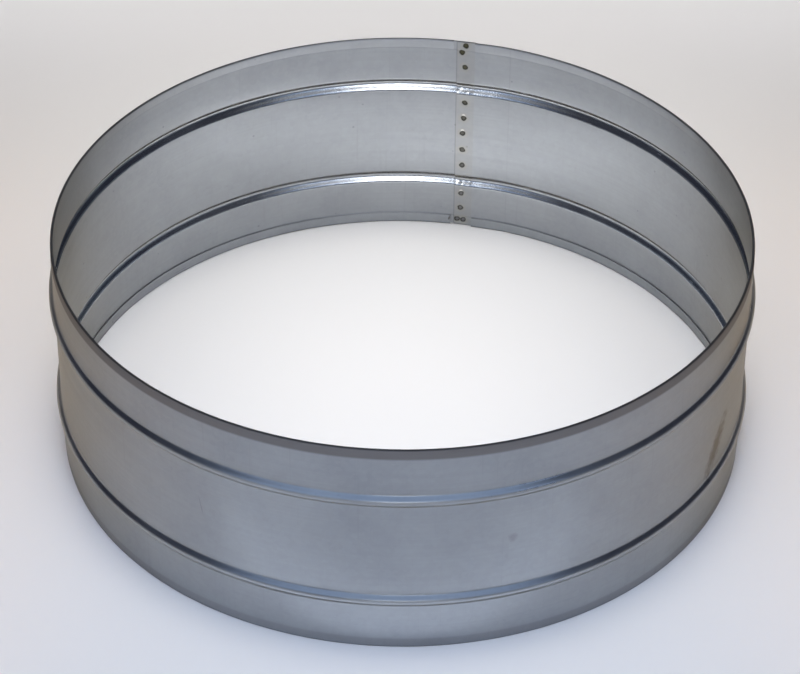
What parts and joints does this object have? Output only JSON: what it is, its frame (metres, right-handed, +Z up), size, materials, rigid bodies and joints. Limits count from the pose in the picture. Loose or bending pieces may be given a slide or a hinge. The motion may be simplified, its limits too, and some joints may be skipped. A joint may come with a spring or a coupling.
{
  "type": "round duct joiner ring",
  "caption": "Short round sheet-steel duct joiner with hemmed rims, rolled stop beads and a spot-welded lap seam; ducts slip over its two ends and butt against the beads.",
  "frame": {"origin": "on the ring's axis, in the plane of the lower rim that it stands on", "axes": "+Z up along the ring's axis; the lap seam is at the back, a little towards +X of +Y"},
  "size_m": [0.456, 0.456, 0.157],
  "materials": {
    "galvanised_sheet": "zinc-coated rolled sheet, satin, with burnt spot-weld marks along the lap"
  },
  "bodies": {
    "root": {"joiner_ring": "galvanised_sheet"}
  },
  "joints": []
}
